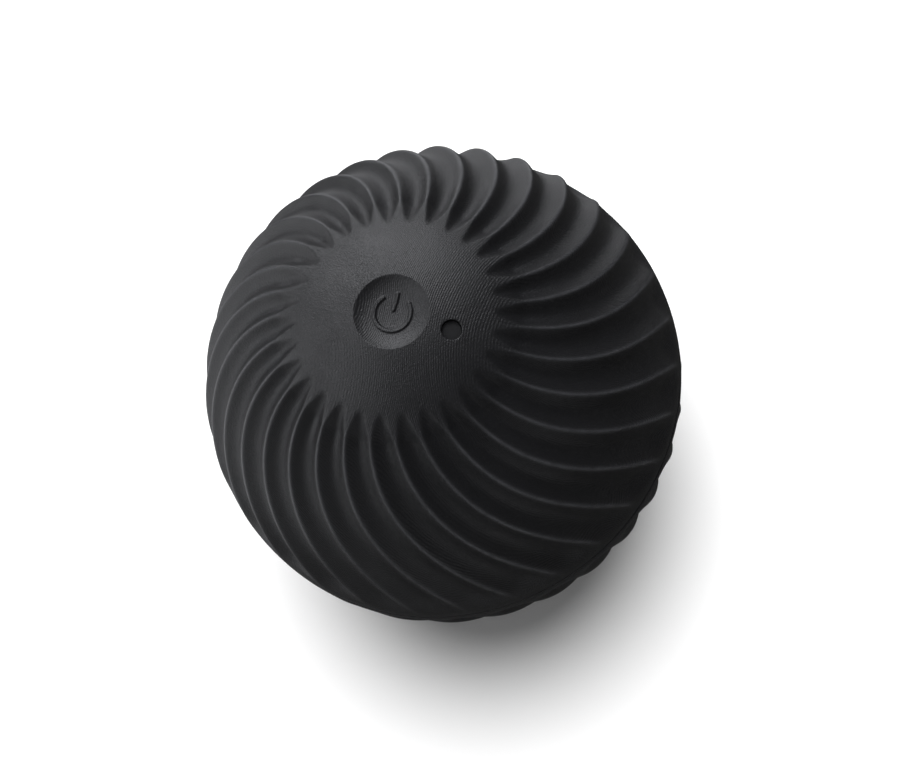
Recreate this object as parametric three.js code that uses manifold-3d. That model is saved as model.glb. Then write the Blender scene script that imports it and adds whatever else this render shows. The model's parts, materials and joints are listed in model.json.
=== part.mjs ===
// A vibrating massage ball: two ribbed silicone covers over a screwed plastic shell, which holds
// a motor with an eccentric weight, a flat battery, a round circuit board with a push switch
// under the finger dish, and a charging socket in the underside.
// Millimetres, +Z up. The origin is the middle of the small flat that the ball stands on.

import * as THREE from 'three';
import { mergeVertices } from 'three/addons/utils/BufferGeometryUtils.js';
import Module from 'manifold-3d';

const wasm = await Module();
wasm.setup();

// ---------------------------------------------------------------- driving dimensions

const BALL_R = 40;
const BASE_FLAT_R = 10;
const CENTRE_Z = Math.sqrt(BALL_R ** 2 - BASE_FLAT_R ** 2);
const GAP = 0.3;
const SEAM = 0.3;

const RIBS = 30;
const RIB_DEPTH = 1.3;
const RIB_TURN = THREE.MathUtils.degToRad(32.8);
const RIB_TOP_LATITUDE = 67;
const RIB_FADE_TOP = 7.5;
const RIB_END_LATITUDE = 2;
const RIB_FADE_END = 9;
const COLUMNS_PER_RIB = 3;

const COVER_IN_R = 35.7;
const SHELL_OUT_R = COVER_IN_R - GAP;
const SHELL_IN_R = SHELL_OUT_R - 2.2;
const FLANGE_IN_R = 31;
const FLANGE_HEIGHT = 3;
const SHELL_SIDES = 32;

const BUTTON_R = 5.9;
const DISH_DEPTH = 1.1;
const PAD_THICKNESS = 1.3;
const PLUNGER_HEAD_R = 4.8;
const PLUNGER_STEM_R = 2.6;

const WINDOW_ANGLE = THREE.MathUtils.degToRad(14.5);
const WINDOW_R = 1.5;

const BOARD_R = 22;
const BOARD_BOTTOM = 20;
const BOARD_TOP = BOARD_BOTTOM + 1.6;

const BATTERY_LENGTH = 36;
const BATTERY_WIDTH = 30;
const BATTERY_BOTTOM = 7.3;
const BATTERY_TOP = 15.3;

const MOTOR_Z = -9;
const MOTOR_R = 12.2;
const MOTOR_WALL = 1.2;
const MOTOR_REAR = -17;
const MOTOR_FRONT = 12;
const SHAFT_R = 1.5;
const WEIGHT_R = 10;
const WEIGHT_NEAR = 15;
const WEIGHT_FAR = 24;

const SADDLE_THICKNESS = 5;
const SADDLE_X = [-12.5, 6.5];
const SADDLE_Y = 19;
const CRADLE_BOTTOM = -23.2;
const CRADLE_PLATE = 1.5;

const SHELL_BOSS_R = 4;
const SHELL_BOSS_AT = 28 * Math.SQRT1_2;

const POCKET_LENGTH = 13;
const POCKET_WIDTH = 7.5;
const POCKET_FLOOR = -32.4;
const SOCKET_LENGTH = 8.94;
const SOCKET_WIDTH = 3.26;
const SOCKET_DEPTH = 7.3;

const LEAD_R = 0.7;

// ---------------------------------------------------------------- solids and helpers

const SIDES = [-1, 1];

function solid(geometry) {
  geometry.deleteAttribute('normal');
  geometry.deleteAttribute('uv');
  const merged = mergeVertices(geometry);
  return new wasm.Manifold(new wasm.Mesh({
    numProp: 3,
    vertProperties: new Float32Array(merged.attributes.position.array),
    triVerts: new Uint32Array(merged.index.array),
  }));
}

function geometryOf(body) {
  const mesh = body.getMesh();
  const geometry = new THREE.BufferGeometry();
  geometry.setAttribute('position', new THREE.BufferAttribute(mesh.vertProperties, 3));
  geometry.setIndex(new THREE.BufferAttribute(mesh.triVerts, 1));
  geometry.computeVertexNormals();
  return geometry;
}

function box(x0, x1, y0, y1, z0, z1) {
  const geometry = new THREE.BoxGeometry(x1 - x0, y1 - y0, z1 - z0);
  geometry.translate((x0 + x1) / 2, (y0 + y1) / 2, (z0 + z1) / 2);
  return solid(geometry);
}

// An upright cylinder.
function post(radius, bottom, top, x = 0, y = 0, sides = 12) {
  const geometry = new THREE.CylinderGeometry(radius, radius, top - bottom, sides);
  geometry.rotateX(Math.PI / 2);
  geometry.translate(x, y, (bottom + top) / 2);
  return solid(geometry);
}

// A profile of [radius, height] points turned about Z: up the outside and down the inside.
function turned(profile, sides = SHELL_SIDES) {
  const points = profile.map(([radius, height]) => new THREE.Vector2(radius, height));
  const geometry = new THREE.LatheGeometry(points, sides);
  geometry.rotateX(Math.PI / 2);
  return solid(geometry);
}

function tube(outerR, innerR, bottom, top, sides = 24) {
  return turned([
    [innerR, bottom], [outerR, bottom], [outerR, top], [innerR, top], [innerR, bottom],
  ], sides);
}

// A slab with round ends along X.
function stadium(length, width, bottom, top, arcSteps = 4) {
  const shape = new THREE.Shape();
  const reach = (length - width) / 2;
  shape.absarc(reach, 0, width / 2, -Math.PI / 2, Math.PI / 2);
  shape.absarc(-reach, 0, width / 2, Math.PI / 2, Math.PI * 1.5);
  const geometry = new THREE.ExtrudeGeometry(shape, {
    depth: top - bottom, bevelEnabled: false, curveSegments: arcSteps,
  });
  geometry.translate(0, 0, bottom);
  return solid(geometry);
}

// A ball cut off flat at the given height, dome up.
function dome(radius, floor, sides = SHELL_SIDES, rows = 6) {
  const profile = [[0, floor]];
  const start = Math.asin(floor / radius);
  for (let row = 0; row <= rows; row += 1) {
    const latitude = start + (Math.PI / 2 - start) * row / rows;
    profile.push([row === rows ? 0 : radius * Math.cos(latitude), radius * Math.sin(latitude)]);
  }
  return turned(profile, sides);
}

// Turns an upper-half shape over, about the X axis, into a lower-half one.
function turnedOver(geometry) {
  geometry.rotateX(Math.PI);
  return geometry;
}

function lead(points) {
  const section = new THREE.Shape();
  section.absarc(0, 0, LEAD_R, 0, Math.PI * 2);
  const path = new THREE.CatmullRomCurve3(points.map((point) => new THREE.Vector3(...point)));
  return solid(new THREE.ExtrudeGeometry(section, {
    steps: 12, curveSegments: 4, extrudePath: path,
  }));
}

// A screw on the Z axis through its head's bearing face. The shaft points up or down.
function screw(shaftR, headR, headHeight, x, y, seat, tip) {
  const away = Math.sign(seat - tip);
  const end = seat + away * headHeight;
  const head = post(headR, Math.min(seat, end), Math.max(seat, end), x, y);
  return head.add(post(shaftR, Math.min(end, tip), Math.max(end, tip), x, y, 10));
}

function material(color, roughness, metalness = 0) {
  return new THREE.MeshStandardMaterial({ color, roughness, metalness });
}

const silicone = material(0x1d1e20, 0.55);
const shellPlastic = material(0x303236, 0.5);
const whitePlastic = material(0xd8d8d4, 0.45);
const blackPlastic = material(0x141416, 0.4);
const windowPlastic = material(0x17181b, 0.2);
const circuitBoard = material(0x12402a, 0.45);
const steel = material(0xa9adb2, 0.35, 1);
const motorSteel = material(0xb9bcc0, 0.3, 1);
const magnetMaterial = material(0x3a3a3d, 0.6);
const brass = material(0xb08d4a, 0.35, 1);
const copper = material(0xb8704a, 0.35, 1);
const cellWrap = material(0x9fb4c4, 0.4);
const foam = material(0x26262a, 0.95);
const sealRubber = material(0x8c3a2a, 0.7);
const redLead = material(0xa51d1d, 0.5);
const blackLead = material(0x161616, 0.5);

const product = new THREE.Group();
const ball = new THREE.Group();
ball.position.z = CENTRE_Z;
product.add(ball);

function addPiece(name, body, look, parent = ball) {
  const mesh = new THREE.Mesh(geometryOf(body), look);
  mesh.name = name;
  parent.add(mesh);
}

// ---------------------------------------------------------------- ribbed silicone covers

const smooth = THREE.MathUtils.smoothstep;

// How far a rib has turned round the ball at a latitude, on its way down from the cap.
function ribTurn(latitude) {
  const way = Math.max(0, (RIB_TOP_LATITUDE - latitude) / RIB_TOP_LATITUDE);
  return RIB_TURN * (2.5 * way ** 2 - 1.5 * way ** 3);
}

// Depth of the grooves between the ribs: none on the cap and none along the equator.
function grooveDepth(latitude) {
  const below = smooth(RIB_TOP_LATITUDE - latitude, 0, RIB_FADE_TOP);
  const above = smooth(latitude - RIB_END_LATITUDE, 0, RIB_FADE_END);
  return RIB_DEPTH * below * above;
}

// Half a ball, solid, with its columns of points winding along the ribs.
function ribbedHalf() {
  const columns = RIBS * COLUMNS_PER_RIB;
  const ribRows = 8;
  const capRows = 2;
  const edge = THREE.MathUtils.radToDeg(Math.asin(SEAM / 2 / BALL_R));
  const positions = [];
  const index = [];
  for (let row = 0; row < ribRows + capRows; row += 1) {
    const latitude = row <= ribRows
      ? edge + (RIB_TOP_LATITUDE - edge) * row / ribRows
      : RIB_TOP_LATITUDE + (90 - RIB_TOP_LATITUDE) * (row - ribRows) / capRows;
    const up = THREE.MathUtils.degToRad(latitude);
    for (let column = 0; column < columns; column += 1) {
      const groove = Math.abs(Math.sin(Math.PI * column / COLUMNS_PER_RIB));
      const radius = BALL_R - grooveDepth(latitude) * groove;
      const round = 2 * Math.PI * column / columns + ribTurn(latitude);
      positions.push(
        radius * Math.cos(up) * Math.cos(round),
        radius * Math.cos(up) * Math.sin(round),
        radius * Math.sin(up),
      );
    }
  }
  const rows = ribRows + capRows;
  const pole = rows * columns;
  const middle = pole + 1;
  positions.push(0, 0, BALL_R, 0, 0, SEAM / 2);
  for (let column = 0; column < columns; column += 1) {
    const next = (column + 1) % columns;
    for (let row = 0; row < rows - 1; row += 1) {
      const here = row * columns;
      const over = here + columns;
      index.push(here + column, here + next, over + next);
      index.push(here + column, over + next, over + column);
    }
    const last = (rows - 1) * columns;
    index.push(last + column, last + next, pole);
    index.push(next, column, middle);
  }
  const geometry = new THREE.BufferGeometry();
  geometry.setAttribute('position', new THREE.Float32BufferAttribute(positions, 3));
  geometry.setIndex(index);
  return geometry;
}

// A slim round bar along the line of the indicator window.
function windowBar(radius, from, to) {
  const geometry = new THREE.CylinderGeometry(radius, radius, to - from, 16);
  geometry.rotateX(Math.PI / 2);
  geometry.translate(0, 0, (from + to) / 2);
  geometry.rotateY(WINDOW_ANGLE);
  return solid(geometry);
}

function upperCover() {
  return solid(ribbedHalf())
    .subtract(dome(COVER_IN_R, 0))
    .subtract(post(BUTTON_R + GAP, 30, BALL_R + 1, 0, 0, 32))
    .subtract(windowBar(WINDOW_R + GAP, 30, BALL_R + 1));
}

// The same cover turned over, with its crests running on across the seam, and a flat to stand on.
function lowerCover() {
  const half = turnedOver(ribbedHalf());
  half.rotateZ(2 * RIB_TURN);
  const inside = new THREE.Matrix4().makeRotationX(Math.PI);
  const hollow = dome(COVER_IN_R, 0).transform(inside.elements);
  return solid(half)
    .subtract(hollow)
    .subtract(box(-BALL_R, BALL_R, -BALL_R, BALL_R, -BALL_R - 1, -CENTRE_Z))
    .subtract(stadium(POCKET_LENGTH, POCKET_WIDTH, -BALL_R, -30));
}

// ---------------------------------------------------------------- inner shell

// One half of the shell with an inward rim flange, dome up, and no bosses.
function shellHalf() {
  const rim = tube(SHELL_IN_R + 1, FLANGE_IN_R, SEAM / 2, FLANGE_HEIGHT, SHELL_SIDES)
    .intersect(dome(SHELL_OUT_R - 0.5, 0));
  return dome(SHELL_OUT_R, SEAM / 2).subtract(dome(SHELL_IN_R, 0)).add(rim);
}

const shellCorners = SIDES.flatMap((x) => SIDES.map((y) => [x * SHELL_BOSS_AT, y * SHELL_BOSS_AT]));

const boardScrewPlaces = [90, 210, 330].map((angle) => {
  const round = THREE.MathUtils.degToRad(angle);
  return [18 * Math.cos(round), 18 * Math.sin(round)];
});

function upperShell() {
  const inside = dome(SHELL_OUT_R - 1, 0);
  let body = shellHalf().add(tube(4.4, 2.9, 29.5, 35).intersect(inside));
  for (const [x, y] of shellCorners) {
    body = body.add(post(SHELL_BOSS_R, SEAM / 2, 26, x, y).intersect(inside));
    body = body.subtract(post(1.8, -1, 10.4, x, y));
  }
  for (const [x, y] of boardScrewPlaces) {
    body = body.add(post(3, BOARD_TOP + GAP, 32, x, y).intersect(inside));
    body = body.subtract(post(1.3, BOARD_TOP, 27.5, x, y));
  }
  return body
    .subtract(post(PLUNGER_STEM_R + GAP, 29, 36))
    .subtract(windowBar(WINDOW_R + GAP, 28, 37));
}

const cradleScrewPlaces = [-6.5, 0.5].flatMap((x) => SIDES.map((y) => [x, y * 14]));

// Two upright rails, each with a groove that the socket board's edge slides into.
function boardRails() {
  const rails = SIDES.map((side) => {
    const near = Math.min(side * 7.4, side * 10.4);
    return box(near, near + 3, 0.4, 4.6, -33, -24.4);
  });
  return rails[0].add(rails[1]).subtract(box(-8.3, 8.3, 1.63, 3.23, -31, -24));
}

function lowerShell() {
  const turn = new THREE.Matrix4().makeRotationX(Math.PI).elements;
  const inside = dome(SHELL_OUT_R - 1, 0).transform(turn);
  let body = shellHalf().transform(turn);
  for (const [x, y] of shellCorners) {
    body = body.add(post(SHELL_BOSS_R, -26, -SEAM / 2, x, y).intersect(inside));
    body = body.subtract(post(1.8, -30, 1, x, y));
    body = body.subtract(post(2.9, -30, -14, x, y));
  }
  for (const [x, y] of cradleScrewPlaces) {
    body = body.add(post(3, -32, CRADLE_BOTTOM - GAP, x, y).intersect(inside));
    body = body.subtract(post(1.4, -29.6, -23, x, y));
  }
  const portHousing = box(-8.6, 8.6, -5.8, 5.8, -35, -31).intersect(inside);
  return body
    .add(portHousing)
    .add(boardRails().intersect(inside))
    .subtract(tube(34.2, 32, -1.75, 1, SHELL_SIDES))
    .subtract(stadium(POCKET_LENGTH, POCKET_WIDTH, -BALL_R, POCKET_FLOOR))
    .subtract(stadium(SOCKET_LENGTH + 2 * GAP, SOCKET_WIDTH + 2 * GAP, -BALL_R, -30));
}

function sealRing() {
  return tube(33.9, 32.3, -1.45, -SEAM / 2, SHELL_SIDES);
}

// ---------------------------------------------------------------- button and switch

const dishFloor = Math.sqrt(BALL_R ** 2 - BUTTON_R ** 2) - DISH_DEPTH;
const padBottom = dishFloor - PAD_THICKNESS;
const plungerTop = padBottom - GAP;

function buttonPad() {
  const rimHeight = dishFloor + DISH_DEPTH;
  return turned([
    [0, padBottom], [BUTTON_R, padBottom], [BUTTON_R, rimHeight], [BUTTON_R - 0.5, rimHeight - 0.1],
    [BUTTON_R - 1.3, dishFloor + 0.5], [BUTTON_R - 2.3, dishFloor + 0.1], [0, dishFloor],
  ], 32);
}

function buttonPlunger() {
  const head = post(PLUNGER_HEAD_R, plungerTop - 0.8, plungerTop, 0, 0, 24);
  return head.add(post(PLUNGER_STEM_R, 26.9, plungerTop - 0.4));
}

function switchBody() {
  return box(-3, 3, -3, 3, BOARD_TOP + GAP, 25.4).subtract(post(2.05, 24.4, 26));
}

// ---------------------------------------------------------------- circuit board

function mainBoard() {
  let body = post(BOARD_R, BOARD_BOTTOM, BOARD_TOP, 0, 0, 40);
  for (const [x, y] of boardScrewPlaces) {
    body = body.subtract(post(1.3, 19, 23, x, y));
  }
  return body;
}

// A plug housing under the board, with a step along its top as a latch.
function connector(x0, x1, y0, y1) {
  const top = BOARD_BOTTOM - GAP;
  return box(x0, x1, y0, y1, top - 3.3, top)
    .subtract(box(x0 - 1, x0 + 0.8, y0 + 1, y1 - 1, top - 3.4, top - 2.6));
}

// ---------------------------------------------------------------- motor, along local +Z

const motor = new THREE.Group();
motor.position.z = MOTOR_Z;
motor.rotation.y = Math.PI / 2;
ball.add(motor);

function motorCan() {
  const inner = MOTOR_R - MOTOR_WALL;
  const frontInside = MOTOR_FRONT - 1.5;
  return turned([
    [inner, MOTOR_REAR], [MOTOR_R, MOTOR_REAR], [MOTOR_R, MOTOR_FRONT - 0.8],
    [MOTOR_R - 0.8, MOTOR_FRONT], [3.3, MOTOR_FRONT], [3.3, frontInside],
    [inner, frontInside], [inner, MOTOR_REAR],
  ], 28);
}

function motorEndCap() {
  return tube(MOTOR_R, 3.3, MOTOR_REAR - 3.2, MOTOR_REAR - GAP, 28)
    .subtract(box(-9, -6, -4, 4, MOTOR_REAR - 4, MOTOR_REAR - 2.4));
}

function bush(bottom, top) {
  return tube(3, SHAFT_R + 0.25, bottom, top, 16);
}

// A curved field magnet on one side of the rotor.
function magnet(side) {
  const half = THREE.MathUtils.degToRad(62);
  const middle = side * Math.PI / 2;
  const shape = new THREE.Shape();
  shape.absarc(0, 0, 10.6, middle - half, middle + half, false);
  shape.absarc(0, 0, 8.9, middle + half, middle - half, true);
  const geometry = new THREE.ExtrudeGeometry(shape, {
    depth: 19, bevelEnabled: false, curveSegments: 6,
  });
  geometry.translate(0, 0, -11);
  return solid(geometry);
}

// A three-pole armature: a hub with three arms, each ending in a curved shoe.
function rotorCore() {
  let core = tube(4, SHAFT_R + GAP, -10, 7, 16);
  for (const turn of [0, 1, 2]) {
    const arm = new THREE.BoxGeometry(5, 2.4, 17);
    arm.translate(5, 0, -1.5);
    const shoe = new THREE.Shape();
    shoe.absarc(0, 0, 8.3, -0.85, 0.85, false);
    shoe.absarc(0, 0, 6.8, 0.85, -0.85, true);
    const shoeGeometry = new THREE.ExtrudeGeometry(shoe, {
      depth: 17, bevelEnabled: false, curveSegments: 3,
    });
    shoeGeometry.translate(0, 0, -10);
    for (const geometry of [arm, shoeGeometry]) {
      geometry.rotateZ(turn * Math.PI * 2 / 3);
      core = core.add(solid(geometry));
    }
  }
  return core;
}

// A half disc that hangs below the shaft, on a round hub.
function eccentricWeight() {
  const shape = new THREE.Shape();
  shape.absarc(0, 0, WEIGHT_R, -Math.PI / 2, Math.PI / 2);
  shape.lineTo(-1.2, WEIGHT_R * 0.4);
  shape.absarc(0, 0, 3.8, Math.PI * 0.6, Math.PI * 1.4);
  shape.lineTo(-1.2, -WEIGHT_R * 0.4);
  const geometry = new THREE.ExtrudeGeometry(shape, {
    depth: WEIGHT_FAR - WEIGHT_NEAR, bevelEnabled: false, curveSegments: 8,
  });
  geometry.translate(0, 0, WEIGHT_NEAR);
  return solid(geometry).subtract(post(SHAFT_R + GAP, WEIGHT_NEAR - 1, WEIGHT_FAR + 1));
}

// ---------------------------------------------------------------- cradle, clamp and tray

// A solid cylinder along X at the motor's axis.
function motorSpace(radius, from, to) {
  const geometry = new THREE.CylinderGeometry(radius, radius, to - from, 28);
  geometry.rotateZ(Math.PI / 2);
  geometry.translate((from + to) / 2, 0, MOTOR_Z);
  return solid(geometry);
}

const clampScrewPlaces = SADDLE_X.flatMap((x) => SIDES.map((y) => [x, y * 16.8]));
const plateTop = CRADLE_BOTTOM + CRADLE_PLATE;

function motorCradle() {
  let body = box(-13, 7, -16.5, 16.5, CRADLE_BOTTOM, plateTop);
  for (const x of SADDLE_X) {
    const half = SADDLE_THICKNESS / 2;
    body = body.add(box(x - half, x + half, -SADDLE_Y, SADDLE_Y, -21.9, MOTOR_Z - GAP));
  }
  for (const [x, y] of clampScrewPlaces) {
    body = body.subtract(post(1.5, -17.5, -8, x, y));
  }
  for (const [x, y] of cradleScrewPlaces) {
    body = body.subtract(post(1.4, -24, -21, x, y));
  }
  return body.subtract(motorSpace(MOTOR_R + GAP, -20, 20));
}

function motorClamp() {
  const from = SADDLE_X[0] - SADDLE_THICKNESS / 2;
  const to = SADDLE_X[1] + SADDLE_THICKNESS / 2;
  let body = motorSpace(MOTOR_R + GAP + 1.8, from, to)
    .add(box(from, to, -SADDLE_Y, SADDLE_Y, MOTOR_Z, MOTOR_Z + 2))
    .subtract(box(-30, 30, -30, 30, -40, MOTOR_Z))
    .subtract(motorSpace(MOTOR_R + GAP, -20, 20));
  for (const [x, y] of clampScrewPlaces) {
    body = body.subtract(post(1.5, -10, -6, x, y));
  }
  return body;
}

// A shallow tray, open at the ends, that keeps the battery in the middle above the motor.
function batteryTray() {
  const reach = BATTERY_WIDTH / 2 + GAP;
  const base = MOTOR_Z + MOTOR_R + 2 * GAP + 1.8;
  return box(-16, 16, -reach - 1.2, reach + 1.2, base, BATTERY_BOTTOM + 3)
    .subtract(box(-20, 20, -reach, reach, BATTERY_BOTTOM - GAP, 12));
}

// A flat pouch cell with rounded long edges and a stiff tab strip at one end.
function batteryCell() {
  const height = BATTERY_TOP - BATTERY_BOTTOM;
  const shape = new THREE.Shape();
  const reach = BATTERY_WIDTH / 2 - 2;
  for (const [x, y, start] of [[reach, 1, 0], [-reach, 1, 1], [-reach, -1, 2], [reach, -1, 3]]) {
    const from = start * Math.PI / 2;
    shape.absarc(x, y * (height / 2 - 2), 2, from, from + Math.PI / 2);
  }
  const geometry = new THREE.ExtrudeGeometry(shape, {
    depth: BATTERY_LENGTH - 2, bevelEnabled: false, curveSegments: 2,
  });
  geometry.rotateX(Math.PI / 2);
  geometry.rotateZ(Math.PI / 2);
  geometry.translate(2 - BATTERY_LENGTH / 2, 0, (BATTERY_BOTTOM + BATTERY_TOP) / 2);
  const strip = box(-18, -15, -13, 13, 10, 13.5);
  return solid(geometry).add(strip);
}

// ---------------------------------------------------------------- charging socket

function socketShell() {
  const mouth = POCKET_FLOOR + 0.2;
  return stadium(SOCKET_LENGTH, SOCKET_WIDTH, mouth, mouth + SOCKET_DEPTH)
    .subtract(stadium(8.34, 2.56, mouth - 1, mouth + 6.4));
}

function socketTongue() {
  const mouth = POCKET_FLOOR + 0.2;
  return box(-3.34, 3.34, -0.35, 0.35, mouth + 0.9, mouth + 6.1);
}

// ---------------------------------------------------------------- assembly

addPiece('upper_cover', upperCover(), silicone);
addPiece('lower_cover', lowerCover(), silicone);
addPiece('upper_shell', upperShell(), shellPlastic);
addPiece('lower_shell', lowerShell(), shellPlastic);
addPiece('seal_ring', sealRing(), sealRubber);

addPiece('button_pad', buttonPad(), silicone);
addPiece('button_plunger', buttonPlunger(), whitePlastic);
addPiece('led_window', windowBar(WINDOW_R, 24.6, BALL_R - 0.4), windowPlastic);

addPiece('main_board', mainBoard(), circuitBoard);
addPiece('tact_switch_body', switchBody(), blackPlastic);
addPiece('tact_switch_stem', post(1.75, 24.7, 26.6), whitePlastic);
addPiece('status_led', box(5.4, 7, -1.6, 1.6, 21.9, 22.9), whitePlastic);
addPiece('controller_chip', box(-12, -5, 2, 9, 21.9, 23.3), blackPlastic);
addPiece('charger_chip', box(-11, -6, -9, -4, 21.9, 23.2), blackPlastic);
addPiece('power_inductor', post(2.6, 21.9, 24.9, 9, 8, 12), magnetMaterial);
addPiece('motor_connector', connector(-19.5, -15, 3.5, 9.5), whitePlastic);
addPiece('battery_connector', connector(-19.5, -15, -4.5, 1.5), whitePlastic);
addPiece('charge_connector', connector(7, 13, 13, 17), whitePlastic);

addPiece('battery_cell', batteryCell(), cellWrap);
addPiece('battery_tray', batteryTray(), shellPlastic);
addPiece('battery_pad', box(-10, 10, -10, 10, BATTERY_TOP + GAP, BOARD_BOTTOM - GAP), foam);

addPiece('motor_can', motorCan(), motorSteel, motor);
addPiece('motor_end_cap', motorEndCap(), whitePlastic, motor);
addPiece('front_bush', bush(MOTOR_FRONT - 1.5, MOTOR_FRONT + 1.5), brass, motor);
addPiece('rear_bush', bush(MOTOR_REAR - 3.2, MOTOR_REAR - GAP), brass, motor);
addPiece('field_magnet_1', magnet(1), magnetMaterial, motor);
addPiece('field_magnet_2', magnet(-1), magnetMaterial, motor);
addPiece('rotor_core', rotorCore(), steel, motor);
addPiece('commutator', tube(3.6, SHAFT_R + GAP, -15.5, -10.8, 16), copper, motor);
addPiece('motor_shaft', post(SHAFT_R, -21, 25), steel, motor);
addPiece('eccentric_weight', eccentricWeight(), brass, motor);

addPiece('motor_cradle', motorCradle(), shellPlastic);
addPiece('motor_clamp', motorClamp(), shellPlastic);

addPiece('usb_socket_shell', socketShell(), steel);
addPiece('usb_socket_tongue', socketTongue(), blackPlastic);
addPiece('usb_board', box(-8, 8, 1.93, 2.93, -30.7, -23.8), circuitBoard);

shellCorners.forEach(([x, y], number) => {
  addPiece(`shell_screw_${number + 1}`, screw(1.5, 2.5, 2, x, y, -14.3, 9.8), steel);
});
clampScrewPlaces.forEach(([x, y], number) => {
  addPiece(`clamp_screw_${number + 1}`, screw(1.2, 2.2, 1.5, x, y, -6.7, -17), steel);
});
cradleScrewPlaces.forEach(([x, y], number) => {
  addPiece(`cradle_screw_${number + 1}`, screw(1.1, 2.2, 1.5, x, y, plateTop + GAP, -29.2), steel);
});
boardScrewPlaces.forEach(([x, y], number) => {
  addPiece(`board_screw_${number + 1}`, screw(1, 2.2, 1.5, x, y, BOARD_BOTTOM - GAP, 27), steel);
});

// Each lead of a pair runs beside the other, a few millimetres away.
[[5, redLead, 'red'], [8, blackLead, 'black']].forEach(([y, look, colour]) => {
  addPiece(`motor_lead_${colour}`, lead([
    [-20.6, y, MOTOR_Z], [-24, y, MOTOR_Z + 1.5], [-25.5, y, 0], [-25, y, 12], [-23, y, 17.2],
    [-19.8, y, 18],
  ]), look);
});
[[-3, redLead, 'red'], [0, blackLead, 'black']].forEach(([y, look, colour]) => {
  addPiece(`battery_lead_${colour}`, lead([
    [-18.3, y, 12], [-21, y, 12.6], [-22.4, y, 15.4], [-21.6, y, 17.6], [-19.8, y, 18],
  ]), look);
});
[[9, redLead, 'red'], [11.2, blackLead, 'black']].forEach(([x, look, colour]) => {
  addPiece(`charge_lead_${colour}`, lead([
    [x - 7, 3.6, -26.5], [x - 6, 8, -27.4], [x - 3, 15.6, -26.6], [x, 20.9, -21], [x, 21.6, -9],
    [x, 20.8, 6], [x, 20.2, 14.5], [x, 19.6, 17], [x, 17.4, 18],
  ]), look);
});

export default product;
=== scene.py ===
"""Massage ball: a ribbed silicone ball with a finger dish, a power symbol and a small window.

Metres, +Z up, the origin in the middle of the flat that the ball stands on.
The frame gives every place; what the frame can't give is a named value in millimetres below.
"""
import json
import math

import bpy
import numpy as np
from mathutils import Matrix, Vector


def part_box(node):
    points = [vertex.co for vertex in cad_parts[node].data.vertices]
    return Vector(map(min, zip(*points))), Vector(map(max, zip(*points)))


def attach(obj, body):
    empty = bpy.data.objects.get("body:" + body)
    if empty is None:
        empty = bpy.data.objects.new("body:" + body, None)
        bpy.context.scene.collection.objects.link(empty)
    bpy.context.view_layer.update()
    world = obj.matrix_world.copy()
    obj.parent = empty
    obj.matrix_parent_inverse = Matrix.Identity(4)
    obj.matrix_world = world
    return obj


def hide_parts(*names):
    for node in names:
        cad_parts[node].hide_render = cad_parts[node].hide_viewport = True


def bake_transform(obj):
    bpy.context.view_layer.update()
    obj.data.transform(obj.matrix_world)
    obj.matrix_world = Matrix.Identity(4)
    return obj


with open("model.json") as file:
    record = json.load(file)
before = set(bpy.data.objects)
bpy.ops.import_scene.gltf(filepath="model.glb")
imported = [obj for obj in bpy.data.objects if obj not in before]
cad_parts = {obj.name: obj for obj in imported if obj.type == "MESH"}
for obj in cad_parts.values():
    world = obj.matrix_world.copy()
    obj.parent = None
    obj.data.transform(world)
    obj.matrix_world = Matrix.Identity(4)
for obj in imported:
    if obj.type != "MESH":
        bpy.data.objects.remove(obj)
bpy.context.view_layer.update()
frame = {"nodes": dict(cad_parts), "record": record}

MM = 0.001

# ------------------------------------------------------------------ dimensions from the frame

cover_low, cover_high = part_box("upper_cover")
seam_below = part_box("lower_cover")[1].z
pad_low, pad_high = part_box("button_pad")
window_low, window_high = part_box("led_window")

BALL_RADIUS = (cover_high.x - cover_low.x) / 2
CENTRE = Vector((0, 0, (cover_low.z + seam_below) / 2))
SEAM_HALF = (cover_low.z - seam_below) / 2
FLAT_DEPTH = CENTRE.z

# ------------------------------------------------------------------ dimensions of the look

RIBS = 30
COLUMNS_PER_RIB = 16
COLUMNS = RIBS * COLUMNS_PER_RIB
RIB_DEPTH = 1.4 * MM
RIB_TURN = math.radians(32.8)
RIB_TURN_LAG = 1.5
RIB_TOP_LATITUDE = math.radians(67)
RIB_FADE_TOP = math.radians(7.5)
RIB_TIP_SOFTNESS = 0.12 * MM
RIB_END_LATITUDE = math.radians(2)
RIB_FADE_END = math.radians(9)
CREST_SOFTNESS = 0.18
CREST_CROWDING = 0.6
CREST_NARROWNESS = 14
# Name of the point mask that places the painted highlight along the rib crests
CREST_MARK = "crest_highlight_mark"

CAP_RINGS = 22
RIB_RINGS = 104
EDGE_RINGS = 7
INNER_RINGS = 24
MOUTH_RINGS = 4
CUT_OVERSHOOT = 2 * MM
SKIN_SMOOTH_ANGLE = 40

SKIN_INSIDE_RADIUS = 35.8 * MM
SEAM_ROUNDING = 0.35 * MM
FLAT_ROUNDING = 1.5 * MM

DISH_EDGE_RADIUS = 6.3 * MM
DISH_LIP_RADIUS = 6.15 * MM
LIP_SOFTNESS = 0.12 * MM
DISH_BOWL_SHARE = 0.45
DISH_SIDE_DRAFT = 0.15 * MM
DISH_WALL_SHARES = (0.4, 0.8)
DISH_UNDER_RADIUS = 0.5 * MM
DISH_UNDER_RINGS = 12
DISH_BOWL_RINGS = 46
DISH_SYMBOL_RINGS = 28
DISH_MIDDLE_RINGS = 40
DISH_MIDDLE_RADIUS = 0.15 * MM
DISH_SMOOTH_ANGLE = 60
PAD_THICKNESS = 1.3 * MM

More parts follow.
